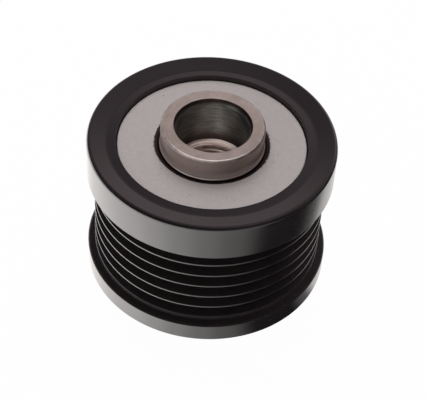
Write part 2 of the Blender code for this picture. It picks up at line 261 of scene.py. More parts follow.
# %% Ring outline, inside
SEAL_RADIUS = 21.83
SEAL_FACE = rim_height - 1.9
SEAL_POCKET = 4.5
LEAD_IN = 0.22
LEAD_DEPTH = 0.32
BROW_DEPTH = 0.7
BROW_ROUND = 0.2
CLUTCH_BORE = 16.93
FRONT_SHOULDER = 7.7
FRONT_SEAL_BORE = 18.43
FRONT_SEAL_FACE = 4.8
CAP_RECESS = 19.2
CAP_CHAMFER = 0.5
CAP_GROOVE = (1.8, 2.4, 3.0)
CAP_GROOVE_DEPTH = 0.4
TIGHT_ROUND, CORNER_ROUND = 0.05, 0.1

rear_shoulder = SEAL_FACE - SEAL_POCKET
bore = [
    (SEAL_RADIUS + LEAD_IN, rim_height - BROW_DEPTH, BROW_ROUND),
    (SEAL_RADIUS + LEAD_IN, SEAL_FACE - LEAD_DEPTH, TIGHT_ROUND),
    (SEAL_RADIUS, SEAL_FACE - 2 * LEAD_DEPTH, TIGHT_ROUND),
    (SEAL_RADIUS, rear_shoulder, CORNER_ROUND),
    (CLUTCH_BORE, rear_shoulder, EDGE_ROUND),
    (CLUTCH_BORE, FRONT_SHOULDER, EDGE_ROUND),
    (FRONT_SEAL_BORE, FRONT_SHOULDER, CORNER_ROUND),
    (FRONT_SEAL_BORE, FRONT_SEAL_FACE, EDGE_ROUND),
    (CAP_RECESS, FRONT_SEAL_FACE, CORNER_ROUND),
    (CAP_RECESS, CAP_GROOVE[2], TIGHT_ROUND),
    (CAP_RECESS + CAP_GROOVE_DEPTH, CAP_GROOVE[1], EDGE_ROUND),
    (CAP_RECESS, CAP_GROOVE[0], TIGHT_ROUND),
    (CAP_RECESS, CAP_CHAMFER, EDGE_ROUND),
    (CAP_RECESS + CAP_CHAMFER, 0, EDGE_ROUND),
]
print("The bore has", len(bore), "corners and narrows to", CLUTCH_BORE, "mm")

# %% Turn the ring
RING_STEPS = 224
ring = turn_piece("grooved_ring", front_flange + grooves + rear_flange + bore, RING_STEPS)
smooth(ring)
hand_over(ring, "ring", "coated_steel", "pulley_ring")

# %% [markdown]
# ## The hub
#
# The hub is turned from bar: a collar that stands proud of the seal, a journal that the needles run on,
# a plain seat for the shaft at the top and an M16 thread below it. Where the collar meets the seal it
# has a narrow bead, which catches the light as a thin bright line that a painted highlight makes brighter.
# The body is turned first.

# %% Hub outline, outside
hub_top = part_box("hub")[1].z / MM
hub_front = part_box("hub")[0].z / MM
JOURNAL = 11.6
JOURNAL_CHAMFER = 0.5
COLLAR = 12.0
COLLAR_FOOT = hub_top - 5.9
COLLAR_CONE = 0.4
BEAD = 12.2
HUB_EDGE = 0.36
HUB_ROUND = 0.14
bead_section = ((COLLAR, -0.16, 0), (BEAD, -0.1, 0.04), (BEAD, 0.06, 0.08), (COLLAR, 0.24, 0.06))
hub_outside = [
    (JOURNAL - JOURNAL_CHAMFER, hub_front, EDGE_ROUND),
    (JOURNAL, hub_front + JOURNAL_CHAMFER, EDGE_ROUND),
    (JOURNAL, COLLAR_FOOT - COLLAR_CONE, 0),
    (COLLAR, COLLAR_FOOT, 0),
    *((edge, SEAL_FACE + rise, rounding) for edge, rise, rounding in bead_section),
    (COLLAR, hub_top - HUB_EDGE, HUB_ROUND),
    (COLLAR - HUB_EDGE, hub_top, HUB_ROUND),
]
print("The hub is", round(hub_top - hub_front, 2), "mm long")

# %% Hub outline, bore
SHAFT_SEAT = 8.5
SEAT_FLOOR = hub_top - 12.3
SEAT_ROUND = 0.06
MOUTH = 8.94
MOUTH_EDGE = 0.12
MOUTH_DEEP = 0.8
MOUTH_ROUND = 0.3
THREAD_CREST = 7.19
CONE_DEPTH = 0.756
SOCKET_TIP, SOCKET_ROOT = 8.4, 9.0
SOCKET_END = 11.0
hub_inside = [
    (MOUTH + MOUTH_EDGE, hub_top, TIGHT_ROUND),
    (MOUTH, hub_top - MOUTH_EDGE, TIGHT_ROUND),
    (MOUTH, hub_top - MOUTH_DEEP, MOUTH_ROUND),
    (SHAFT_SEAT, hub_top - 2 * MOUTH_DEEP, MOUTH_ROUND),
    (SHAFT_SEAT, SEAT_FLOOR, SEAT_ROUND),
    (THREAD_CREST, SEAT_FLOOR - CONE_DEPTH, 0),
    (THREAD_CREST, SOCKET_END + SOCKET_TIP - THREAD_CREST, 0),
    (SOCKET_TIP, SOCKET_END, 0),
    (SOCKET_TIP, hub_front + SOCKET_ROOT - SOCKET_TIP, 0),
    (SOCKET_ROOT, hub_front, TIGHT_ROUND),
]
HUB_STEPS = 132
hub = turn_piece("threaded_hub", hub_outside + hub_inside, HUB_STEPS)
print("The turned hub has", len(hub.data.polygons), "faces")

# %% [markdown]
# ### Cutting the thread
#
# A tap cuts the M16 x 1.5 thread, so here too a cutter does it. The shape of one groove is drawn as an
# outline inside the bore, the Screw modifier winds it up the bore as a helix, and the Boolean modifier
# takes it out of the hub. The cutter is turned so that the thread runs out at the back, where the
# photograph shows its first turn start as a thin line below the cone.


# %% Cutting
def cut(piece, cutter):
    """Takes the cutter out of a piece with an applied Boolean, and deletes the cutter."""
    pick(piece)
    bpy.ops.object.modifier_add(type="BOOLEAN")
    piece.modifiers[-1].solver = "EXACT"
    piece.modifiers[-1].object = cutter
    bpy.ops.object.modifier_apply(modifier=piece.modifiers[-1].name)
    bpy.data.objects.remove(cutter)


print("The hub is cut with exact Booleans.")

# %% Thread
THREAD_PITCH = 1.5
THREAD_ROOT = 8.0
THREAD_SLOPE = math.tan(math.radians(30))
THREAD_TURNS = 11
THREAD_END = SEAT_FLOOR - 1.7
RUN_OUT = math.radians(110)
CUTTER_REACH = 0.25

thread_start = THREAD_END - THREAD_TURNS * THREAD_PITCH
root_half = THREAD_PITCH / 16
inside = THREAD_CREST - CUTTER_REACH
inside_half = root_half + (THREAD_ROOT - inside) * THREAD_SLOPE
groove_shape = [
    (inside, thread_start - inside_half, 0),
    (THREAD_ROOT, thread_start - root_half, 0),
    (THREAD_ROOT, thread_start + root_half, 0),
    (inside, thread_start + inside_half, 0),
]
draw_outline("thread_cutter", groove_shape)
bpy.ops.object.mode_set(mode="OBJECT")
thread_cutter = bpy.context.object
bpy.ops.object.modifier_add(type="SCREW")
winding = thread_cutter.modifiers[-1]
winding.screw_offset = THREAD_PITCH * MM
winding.iterations = THREAD_TURNS
winding.steps = winding.render_steps = HUB_STEPS // 2
bpy.ops.object.modifier_apply(modifier=winding.name)
thread_cutter.rotation_euler.z = RUN_OUT
bpy.ops.object.transform_apply(rotation=True)
bpy.ops.object.mode_set(mode="EDIT")
bpy.ops.mesh.select_all(action="SELECT")
bpy.ops.mesh.fill_holes(sides=0)
close_shell()
cut(hub, thread_cutter)
print("The threaded hub has", len(hub.data.polygons), "faces")

# %% [markdown]
# ### Cutting the socket
#
# The front end has a socket with 33 fine teeth, where the fitting tool holds the hub. A circle is filled,
# every second corner is drawn outwards, and the star is extruded into a broach that cuts all the teeth.

# %% Socket
SOCKET_TEETH = 33
BROACH_REACH = 1
bpy.ops.object.select_all(action="DESELECT")
broach_foot = hub_front - BROACH_REACH
bpy.ops.mesh.primitive_circle_add(
    vertices=2 * SOCKET_TEETH, radius=SOCKET_TIP * MM, fill_type="NGON", location=(0, 0, broach_foot * MM)
)
socket_cutter = bpy.context.object
bpy.ops.object.transform_apply(location=True)
bpy.ops.object.mode_set(mode="EDIT")
tooth_angle = TURN / SOCKET_TEETH
select_vertices(lambda spot: round(math.atan2(spot.x, spot.y) / tooth_angle % 1, 1) == 0.5)
grow = SOCKET_ROOT / SOCKET_TIP
bpy.ops.transform.resize(value=(grow, grow, 1), center_override=(0, 0, broach_foot * MM))
bpy.ops.mesh.select_all(action="SELECT")
bpy.ops.mesh.extrude_region_move(TRANSFORM_OT_translate={"value": (0, 0, (SOCKET_END - broach_foot) * MM)})
close_shell()
cut(hub, socket_cutter)
smooth(hub)
hand_over(hub, "hub", "hub_steel", "hub")

# %% [markdown]
# ## The seals
#
# A grey pressed steel case closes each end of the bearing space. A black rubber lip is moulded on the
# inner edge of the case. One edge of it wipes on the hub, and a shorter one keeps dust out. Both seals
# have the same section, so one pair of outlines is drawn by its depth below the seal's outer face, and
# the front seal uses it upside down.

# %% Seal cases and lips
SHEET = 1.0
CASE_BEND = 0.15
CASE_ROUND = 0.08
SEAL_EDGE = COLLAR + 1.25
LIP_GAP = 0.06
DUST_LIP_GAP = 0.08
FIT = 0.03
CASE_STEPS = 160


def seal(end, radius, face, height, inward):
    """Turns a seal case and its lip. inward is 1 where the case is sunk towards +Z, else -1."""
    case = [
        (radius - CASE_BEND, 0, CASE_ROUND),
        (radius, CASE_BEND, CASE_ROUND),
        (radius, height, CORNER_ROUND),
        (radius - SHEET, height, CORNER_ROUND),
        (radius - SHEET, SHEET, 0.2),
        (SEAL_EDGE, SHEET, CASE_ROUND),
        (SEAL_EDGE, 0, 0.14),
    ]
    root = SEAL_EDGE - FIT
    lip = [
        (root, 0.2, 0.03),
        (root, 1.1, 0.05),
        (root - 0.5, 1.6, 0.1),
        (JOURNAL + LIP_GAP, 1.6, 0.03),
        (JOURNAL + LIP_GAP, 1.35, 0.03),
        (root - 0.5, 1.0, 0.08),
        (root - 0.5, 0.85, 0.08),
        (BEAD + DUST_LIP_GAP, 0.7, 0.03),
        (BEAD + DUST_LIP_GAP, 0.5, 0.05),
        (root - 0.62, 0.36, 0.1),
        (root - 0.5, 0.12, 0.1),
        (root - 0.22, 0.1, 0.1),
        (root - 0.12, 0.24, 0.05),
    ]
    for name, section, slot, node in (
        (end + "_seal_case", case, "seal_case", end + "_seal_shield"),
        (end + "_lip", lip, "seal_rubber", end + "_seal_lip"),
    ):
        corners = [(edge, face + inward * depth, rounding) for edge, depth, rounding in section]
        piece = turn_piece(name, corners, CASE_STEPS)
        smooth(piece)
        hand_over(piece, "ring", slot, node)


REAR_SEAL_HEIGHT, FRONT_SEAL_HEIGHT = 4.2, 2.6
seal("rear", SEAL_RADIUS - FIT, SEAL_FACE, REAR_SEAL_HEIGHT, -1)
seal("front", FRONT_SEAL_BORE - FIT, FRONT_SEAL_FACE, FRONT_SEAL_HEIGHT, 1)

# %% [markdown]
# ## The cup of the clutch
#
# A hardened cup is pressed in the ring. Its two plain ends are the raceways of the needles. Between them
# its wall rises in eight wedge ramps: driven one way, the rollers climb the ramps and jam on the hub, and
# driven the other way they fall back and run free. The cup is turned plain, and each row of vertices on
# the clutch seat is then scaled out or in to the height that the ramp has there.

# %% Plain cup
RACEWAY = 14.7
CUP_EDGE = 0.4
CUP_MOUTH = 0.15
FINE_ROUND = 0.03
SEAT_STEP = 0.05
SEAT_FOOT, SEAT_TOP = 15.9525, 23.3525
CUP_STEPS = 256
cup_foot, cup_top = (corner.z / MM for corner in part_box("clutch_cup"))
cup_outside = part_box("clutch_cup")[1].x / MM
plain_seat = RACEWAY - SEAT_STEP
cup_outline = [
    (cup_outside - CUP_EDGE, cup_foot, CORNER_ROUND),
    (cup_outside, cup_foot + CUP_EDGE, CORNER_ROUND),
    (cup_outside, cup_top - CUP_EDGE, CORNER_ROUND),
    (cup_outside - CUP_EDGE, cup_top, CORNER_ROUND),
    (RACEWAY + CUP_MOUTH, cup_top, FINE_ROUND),
    (RACEWAY, cup_top - CUP_MOUTH, FINE_ROUND),
    (RACEWAY, SEAT_TOP, 0),
    (plain_seat, SEAT_TOP, 0),
    (plain_seat, SEAT_FOOT, 0),
    (RACEWAY, SEAT_FOOT, 0),
    (RACEWAY, cup_foot + CUP_MOUTH, FINE_ROUND),
    (RACEWAY + CUP_MOUTH, cup_foot, FINE_ROUND),
]
cup = turn_piece("ramped_cup", cup_outline, CUP_STEPS)
print("The plain cup has", len(cup.data.polygons), "faces")

# %% Ramps of the cup
RAMPS = 8
RAMP_RISE = 1.4515
RAMP_TOP = 0.625
RAMP_FALL = 0.125
ramp_foot = RAMP_TOP + RAMP_FALL - 1
rows = CUP_STEPS // RAMPS
bpy.ops.object.mode_set(mode="EDIT")
for row in range(rows):
    share = (row / rows - ramp_foot) % 1 + ramp_foot
    if share > RAMP_TOP:
        share -= (share - RAMP_TOP) / RAMP_FALL
    grow = (RACEWAY + share * RAMP_RISE) / plain_seat
    select_vertices(
        lambda spot: spot.xy.length < (RACEWAY - SEAT_STEP / 2) * MM
        and round(math.atan2(spot.y, spot.x) / TURN * CUP_STEPS) % rows == row
    )
    bpy.ops.transform.resize(value=(grow, grow, 1), center_override=(0, 0, 0))
bpy.ops.object.mode_set(mode="OBJECT")
smooth(cup)
hand_over(cup, "ring", "race_steel", "clutch_cup")

# %% [markdown]
# ## Thrust rings
#
# Two hardened rings are pressed on the hub, one at each end of the cup, and keep the pulley from sliding
# along it. They are turned with broken edges, so that they start on the hub without scoring it.

# %% Thrust rings
WASHER_ROUND = 0.2
WASHER_BORE_ROUND = 0.15
for end in ("front", "rear"):
    node = end + "_thrust_ring"
    foot, top = (corner.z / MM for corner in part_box(node))
    outside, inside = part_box(node)[1].x / MM, JOURNAL + FIT
    section = [(outside, foot, WASHER_ROUND), (outside, top, WASHER_ROUND)]
    section += [(inside, top, WASHER_BORE_ROUND), (inside, foot, WASHER_BORE_ROUND)]
    washer = turn_piece(end + "_thrust_washer", section, CASE_STEPS)
    smooth(washer)
    hand_over(washer, "hub", "race_steel", node)

# %% [markdown]
# ## Cages
#
# Each cage is moulded as a ring with a pocket for every needle. So a ring is turned, one pocket's block
# gets round corners and is repeated round the axis, and all the blocks are cut out at once. The clutch
# cage has longer pockets, because a spring shares each one with its roller.

# %% Moulding a cage
CAGE_INSIDE = JOURNAL + 0.33
CAGE_STEPS = 168
CAGE_RIM = 0.7
CAGE_EDGE = 0.12
POCKET_CORNER = 0.35
POCKET_STEPS = 4
POCKET_SIDE = 1.65
BLOCK_REACH = 1


def select_radial_edges():
    """Selects the edges that run along X, in edit mode."""
    form = bmesh.from_edit_mesh(bpy.context.object.data)
    bpy.ops.mesh.select_all(action="DESELECT")
    bpy.ops.mesh.select_mode(type="EDGE")
    for edge in form.edges:
        run = edge.verts[0].co - edge.verts[1].co
        edge.select = abs(run.x) > 0.9 * run.length
    bmesh.update_edit_mesh(bpy.context.object.data)


def mould_cage(name, node, body, count, far_side):
    """Makes a ring with count pockets, each from -POCKET_SIDE to far_side across the radius at +X."""
    foot, top = (corner.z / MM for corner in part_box(node))
    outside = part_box(node)[1].x / MM
    section = [(outside, foot, CAGE_EDGE), (outside, top, CAGE_EDGE)]
    section += [(CAGE_INSIDE, top, CAGE_EDGE), (CAGE_INSIDE, foot, CAGE_EDGE)]
    cage = turn_piece(name, section, CAGE_STEPS)
    bpy.ops.object.select_all(action="DESELECT")
    middle = ((CAGE_INSIDE + outside) / 2, (far_side - POCKET_SIDE) / 2, (foot + top) / 2)
    bpy.ops.mesh.primitive_cube_add(size=MM, location=Vector(middle) * MM)
    blocks = bpy.context.object
    bpy.ops.object.mode_set(mode="EDIT")
    size = (outside - CAGE_INSIDE + 2 * BLOCK_REACH, far_side + POCKET_SIDE, top - foot - 2 * CAGE_RIM)
    bpy.ops.transform.resize(value=size, center_override=Vector(middle) * MM)
    select_radial_edges()
    bpy.ops.mesh.bevel(affect="EDGES", offset=POCKET_CORNER * MM, segments=POCKET_STEPS)
    bpy.ops.object.mode_set(mode="OBJECT")
    bpy.ops.object.transform_apply(location=True)
    bpy.ops.object.mode_set(mode="EDIT")
    bpy.ops.mesh.select_all(action="SELECT")
    around = TURN * (count - 1) / count
    bpy.ops.mesh.select_mode(type="VERT")
    bpy.ops.mesh.spin(steps=count - 1, dupli=True, angle=around, center=(0, 0, 0), axis=(0, 0, 1))
    close_shell()
    cut(cage, blocks)
    smooth(cage)
    hand_over(cage, body, "cage_plastic", node)


print("A pocket is", round(2 * POCKET_SIDE, 2), "mm wide")

# %% Cages
NEEDLES = 14
SPRING_SPACE = 2.4
mould_cage("front_needle_cage", "front_bearing_cage", "front_cage", NEEDLES, POCKET_SIDE)
mould_cage("rear_needle_cage", "rear_bearing_cage", "rear_cage", NEEDLES, POCKET_SIDE)
mould_cage("clutch_roller_cage", "clutch_cage", "ring", RAMPS, POCKET_SIDE + SPRING_SPACE)

# %% [markdown]
# ## Needles and clutch rollers
#
# The needles and the clutch rollers are ground from the same steel and differ only in length. One is
# spun about its own axis, with a small flat end and a rounded shoulder that keeps it from digging into
# the cage. The others are copies, each turned to its own place round the hub.

# %% Copying round the hub
def spread_round(first, count, body, slot, nodes):
    """Copies a piece round the Z axis. Where body is empty, each copy rides on its own node's body."""
    for number in range(count):
        pick(first)
        if number:
            bpy.ops.object.duplicate()
        made = bpy.context.object
        made.name = made.data.name = f"{first.name}_{number + 1}" if number else first.name
        made.rotation_euler.z = TURN * number / count if number else 0
        bpy.ops.object.transform_apply(location=True, rotation=True)
        own_body = body or nodes[number]
        made_of.setdefault(slot, []).append(made)
        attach(made, own_body)
        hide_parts(nodes[number])
    print(count, "pieces stand round the hub like", first.name)


# %% Rollers
ROLLER_RADIUS = 1.5
ROLLER_PITCH = 13.15
ROLLER_STEPS = 28
SHOULDER = 0.25
SHOULDER_ROUND = 0.12
END_ROUND = 0.08


def ground_roller(name, node):
    """Makes one roller on the +X side, as long and as high up as a CAD node."""
    foot, top = (corner.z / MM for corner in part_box(node))
    half = (top - foot) / 2
    flat_end = ROLLER_RADIUS - SHOULDER
    side = [
        (0, -half, 0),
        (flat_end, -half, END_ROUND),
        (ROLLER_RADIUS, SHOULDER - half, SHOULDER_ROUND),
        (ROLLER_RADIUS, half - SHOULDER, SHOULDER_ROUND),
        (flat_end, half, END_ROUND),
        (0, half, 0),
    ]
    made = turn_piece(name, side, ROLLER_STEPS, closed=False)
    smooth(made)
    made.location = Vector((ROLLER_PITCH, 0, (foot + top) / 2)) * MM
    bpy.ops.object.transform_apply(location=True)
    return made


for end in ("front", "rear"):
    nodes = [f"{end}_needle_{number + 1:02d}" for number in range(NEEDLES)]
    spread_round(ground_roller(end + "_ground_needle", nodes[0]), NEEDLES, None, "roller_steel", nodes)
nodes = [f"clutch_roller_{number + 1}" for number in range(RAMPS)]
spread_round(ground_roller("wedge_roller", nodes[0]), RAMPS, "ring", "roller_steel", nodes)

# %% [markdown]
# ## Springs
#
# A strip of spring steel, folded like a screen, pushes each roller up its ramp. The folds are drawn as
# an open outline with round corners, pulled out to the strip's width, stood up with a quarter turn, and
# given the strip's thickness with Solidify.

# %% Folded springs
STRIP = 0.2
FOLD_ROUND = 0.2
FOLD_LOW, FOLD_HIGH = 12.32, 13.98
ROLLER_END_GAP, POCKET_END_GAP = 0.12, 0.3

fold_start = POCKET_SIDE + ROLLER_END_GAP
fold_end = POCKET_SIDE + SPRING_SPACE - POCKET_END_GAP
third = (fold_end - fold_start) / 3
folds = [
    (FOLD_LOW, -fold_start, 0),
    (FOLD_HIGH, -fold_start - third, FOLD_ROUND),
    (FOLD_LOW, -fold_start - 2 * third, FOLD_ROUND),
    (FOLD_HIGH, -fold_end, 0),
]
foot, top = (corner.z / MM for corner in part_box("clutch_spring_1"))
draw_outline("folded_spring", folds, closed=False)
bpy.ops.mesh.extrude_region_move(TRANSFORM_OT_translate={"value": (0, (top - foot) * MM, 0)})
bpy.ops.object.mode_set(mode="OBJECT")
spring = bpy.context.object
spring.rotation_euler.x = math.pi / 2
bpy.ops.object.transform_apply(rotation=True)
bpy.ops.object.modifier_add(type="SOLIDIFY")
spring.modifiers[-1].thickness = STRIP * MM
spring.modifiers[-1].offset = 0
bpy.ops.object.modifier_apply(modifier=spring.modifiers[-1].name)
bpy.ops.object.mode_set(mode="EDIT")
close_shell()
spring.location.z = (foot - min(vertex.co.z for vertex in spring.data.vertices) / MM) * MM
bpy.ops.object.transform_apply(location=True)
smooth(spring)
nodes = [f"clutch_spring_{number + 1}" for number in range(RAMPS)]
spread_round(spring, RAMPS, "ring", "spring_steel", nodes)

# %% [markdown]
# ## Finishes
#
# Every finish starts as a Principled shader. Colours are the hex values that a paint program shows, so
# one function turns them into the linear values that the shader wants, and one function adds a node. A
# noise pattern is scaled by the real size of its spots in millimetres.
#
# Sockets are given by name or by number. Of a Map Range node, 0 is the value, 1 and 2 are the range that
# it comes from, and 3 and 4 are the range that it goes to, which is 0 to 1 where nothing else is given.

# %% Colours and nodes
EASED = {"interpolation_type": "SMOOTHSTEP"}
TWO_COLOURS = {"data_type": "RGBA", "out": 2}
SHARE, FIRST, SECOND = 0, 6, 7


def paint(code):
    """Turns an sRGB hex colour into linear RGBA."""
    parts = [int(code[place : place + 2], 16) / 255 for place in (1, 3, 5)]
    return [part / 12.92 if part < 0.04045 else ((part + 0.055) / 1.055) ** 2.4 for part in parts] + [1]


def every(size):
    """The scale of a pattern that repeats about every size millimetres."""
    return 1 / (size * MM)


def add(tree, kind, sockets, out=0, **settings):
    """Adds a node with its options, sets or links its sockets, and returns one of its outputs."""
    made = tree.nodes.new("ShaderNode" + kind)
    for option, value in settings.items():
        setattr(made, option, value)
    for socket, value in sockets.items():
        if isinstance(value, bpy.types.NodeSocket):
            tree.links.new(value, made.inputs[socket])
        else:
            made.inputs[socket].default_value = value
    return made.outputs[out]


print("The grey #808080 is", round(paint("#808080")[0], 3), "in linear light")

# %% Starting a finish
NOISE_LOW, NOISE_HIGH = 0.3, 0.7


def new_finish(name, colour, metallic, roughness, **more):
    """Makes a Principled material with its plain values set."""
    made = bpy.data.materials.new(name)
    made.use_nodes = True
    shader = made.node_tree.nodes["Principled BSDF"]
    shader.inputs["Base Color"].default_value = paint(colour)
    shader.inputs["Metallic"].default_value = metallic
    shader.inputs["Roughness"].default_value = roughness
    for socket, value in more.items():
        shader.inputs[socket].default_value = value
    return made, made.node_tree, shader


def follow(tree, shader, pattern, gloss, strength, depth):
    """Lets the roughness and a relief so many millimetres deep follow a pattern."""
    rough = add(tree, "MapRange", {0: pattern, 1: NOISE_LOW, 2: NOISE_HIGH, 3: gloss[0], 4: gloss[1]})
    tree.links.new(rough, shader.inputs["Roughness"])
    relief = add(tree, "Bump", {"Height": pattern, "Strength": strength, "Distance": depth * MM})
    tree.links.new(relief, shader.inputs["Normal"])
    return rough


print("Nearly all of a noise lies between", NOISE_LOW, "and", NOISE_HIGH)

# %% [markdown]
# ### Turning marks
#
# A lathe tool leaves fine rings that run round the axis. Noise shows them if it changes fast along the
# radius and the height, and slowly round the piece: its fourth value is the radius, and its vector is
# the height with the direction from the axis. No seam shows, because the direction has none. The real
# marks are too fine for the picture, so those on the outside are drawn as coarse as they need to be seen.


# %% Turning marks
def turning_marks(tree, spacing, round_the_turn=1.5, detail=3.0):
    """Noise in rings round the Z axis, spacing millimetres apart. Returns it, the place and the radius."""
    place = add(tree, "TexCoord", {}, "Object")
    flat = add(tree, "VectorMath", {0: place, 1: (1, 1, 0)}, operation="MULTIPLY")
    radius = add(tree, "VectorMath", {0: flat}, "Value", operation="LENGTH")
    rings = add(tree, "Math", {0: radius, 1: every(spacing)}, operation="MULTIPLY")
    way = add(tree, "VectorMath", {0: flat}, operation="NORMALIZE")
    around = add(tree, "VectorMath", {0: way, 1: (round_the_turn,) * 3}, operation="MULTIPLY")
    height = add(tree, "VectorMath", {0: place, 1: (0, 0, every(spacing))}, operation="MULTIPLY")
    spot = add(tree, "VectorMath", {0: around, 1: height}, operation="ADD")
    noise = {"Vector": spot, "W": rings, "Scale": 1, "Detail": detail}
    return add(tree, "TexNoise", noise, "Fac", noise_dimensions="4D"), place, radius


print("Rings a tenth of a millimetre apart need the scale", round(every(0.1)))

# %% [markdown]
# ### Black oxide on turned steel
#
# The ring is blackened in a hot salt bath, which turns its skin into magnetite a micrometre thick. The
# film is brownish black and satin, and magnetite bends light strongly, so its IOR is 2.4 and the flanges
# mirror the white table at a low angle. The turning marks show through it.


# %% Black oxide
def black_oxide(name, dark, light, gloss, **more):
    """Brownish black oxide with turning marks, clouded between a dark and a lighter shade."""
    made, tree, shader = new_finish(name, dark, 0, gloss[0], **more)
    marks, place = turning_marks(tree, spacing=0.12)[:2]
    follow(tree, shader, marks, gloss, 0.1, 0.004)
    cloud = add(tree, "TexNoise", {"Vector": place, "Scale": every(5.5), "Detail": 4}, "Fac")
    shade = add(tree, "Mix", {SHARE: cloud, FIRST: paint(dark), SECOND: paint(light)}, **TWO_COLOURS)
    tree.links.new(shade, shader.inputs["Base Color"])
    return made


oxide = black_oxide("black oxide on turned steel", "#1A1516", "#251D1E", (0.17, 0.22), IOR=2.4)
ring.data.materials.append(oxide)
print("The outside of the ring is satin black.")

# %% [markdown]
# ### The belt grooves
#
# A belt leaves a film of rubber dust in the grooves, which dulls the oxide to a matt dark grey. Only the
# crests, where the dust is rubbed off, keep the satin oxide and draw thin bright lines. Dust settles on
# the narrow wall round the seal as well.

# %% Belt grooves
dusty = black_oxide("black oxide dulled by belt dust", "#413D3E", "#524D4E", (0.42, 0.55), IOR=1.45)
ring.data.materials.append(dusty)
SLACK = 0.1
CREST_BAND = 0.06
FLANGE_BAND = 0.04
flange_wall = FLANGE_CHAMFER + EDGE_ROUND
for face in ring.data.polygons:
    reach, height = face.center.xy.length / MM, face.center.z / MM
    outside = reach > GROOVE_ROOT - SLACK
    between = outside and FRONT_FLANGE - flange_wall < height < rear_foot + flange_wall
    among_crests = GROOVES_START - SLACK < height < grooves_end + SLACK
    on_crest = among_crests and reach > CREST_RADIUS - CREST_BAND
    on_flange = reach > flange_radius - FLANGE_BAND
    by_the_seal = reach < SEAL_RADIUS + LEAD_IN + SLACK and height > rear_shoulder
    if by_the_seal or between and not on_crest and not on_flange:
        face.material_index = 1
print(sum(face.material_index for face in ring.data.polygons), "faces of the ring are dusty.")

# %% [markdown]
# ### Specks of dirt
#
# A few dark specks lie on the hub and on the seal. Each is placed by its distance from a point, and a
# fine noise makes its edge ragged.


# %% Specks
SPECK_RIPPLE = 0.8
SPECK_EDGE, SPECK_CORE = 1.3, 0.8


def spots(tree, place, marks):
    """1 at each mark, fading to 0 about its reach away. marks are (x, y, z, reach) in millimetres."""
    ripple = add(tree, "TexNoise", {"Vector": place, "Scale": every(0.67), "Detail": 2}, "Fac")
    found = 0
    for x, y, z, reach in marks:
        centre, size = Vector((x, y, z)) * MM, reach * MM
        distance = add(tree, "VectorMath", {0: place, 1: centre}, "Value", operation="DISTANCE")
        ragged = add(tree, "Math", {0: ripple, 1: SPECK_RIPPLE * size, 2: distance}, operation="MULTIPLY_ADD")
        speck = add(tree, "MapRange", {0: ragged, 1: SPECK_EDGE * size, 2: SPECK_CORE * size}, **EASED)
        found = add(tree, "Math", {0: speck, 1: found}, operation="MAXIMUM")
    return found


HUB_SPECKS = (
    (-3.0, -11.6, 39.5, 0.16),
    (-9.3, -7.0, hub_top - 0.1, 0.2),
    (-2.9, -11.6, hub_top - 0.3, 0.18),
    (5.5, -10.7, 38.1, 0.12),
    (-8.4, 5.2, hub_top, 0.14),
)
print("The hub gets", len(HUB_SPECKS), "specks")

# %% [markdown]
# ### Bare turned steel
#
# The hub is left bare, so its metal is warm grey with a trace of brown from storage oil. Handling wears
# the edges smooth and bright, and their light colour, which the bead takes as well, is also a painted
# highlight. The outer edge is found from the radius and the height together, because their sum is
# greatest there. Painted light makes the top lighter towards the back, and painted shade makes the side
# of the collar darker towards the right. Below the seat the cone and the thread are a lighter cut steel,
# partly as painted light. Just above the seal a dried film of grease makes the collar light and dull.

# %% Bare turned steel, oil and painted light and shade
BACK_PAINTED_LIGHT_SHARE = 0.6
steel, tree, shader = new_finish("bare turned hub steel", "#958885", 1, 0.5)
marks, place, radius = turning_marks(tree, spacing=0.2, round_the_turn=3)
apart = add(tree, "SeparateXYZ", {0: place}).node.outputs
height = apart["Z"]
oil = add(tree, "TexNoise", {"Vector": place, "Scale": every(2.9), "Detail": 5, "Roughness": 0.65}, "Fac")
patches = add(tree, "MapRange", {0: oil, 1: 0.35, 2: 0.7}, **EASED)
colour = add(tree, "Mix", {SHARE: patches, FIRST: paint("#9B9185"), SECOND: paint("#C4B2AF")}, **TWO_COLOURS)
# Painted light: the hub is painted lighter towards the back and darker towards the front.
to_back = add(tree, "MapRange", {0: apart["Y"], 1: -6 * MM, 2: 9 * MM}, **EASED)
back_painted_light = add(tree, "Mix", {SHARE: to_back, FIRST: paint("#A39691"), SECOND: paint("#C2B3AD")}, **TWO_COLOURS)
colour = add(tree, "Mix", {SHARE: BACK_PAINTED_LIGHT_SHARE, FIRST: colour, SECOND: back_painted_light}, **TWO_COLOURS)
scored = add(tree, "MapRange", {0: marks, 1: 0.52, 2: 0.36, 4: 0.3}, **EASED)
colour = add(tree, "Mix", {SHARE: scored, FIRST: colour, SECOND: paint("#7E716B")}, **TWO_COLOURS)
# Painted light and shade: the collar's side is painted lighter on the left and darker on the right.
to_right = add(tree, "MapRange", {0: apart["X"], 1: -3 * MM, 2: 6 * MM}, **EASED)
side = add(tree, "Mix", {SHARE: to_right, FIRST: paint("#C0B2AC"), SECOND: paint("#93857F")}, **TWO_COLOURS)
on_side = add(tree, "MapRange", {0: radius, 1: (COLLAR - 0.2) * MM, 2: (COLLAR - 0.05) * MM}, **EASED)
colour = add(tree, "Mix", {SHARE: on_side, FIRST: colour, SECOND: side}, **TWO_COLOURS)
print(steel.name, "has", len(tree.nodes), "nodes so far")

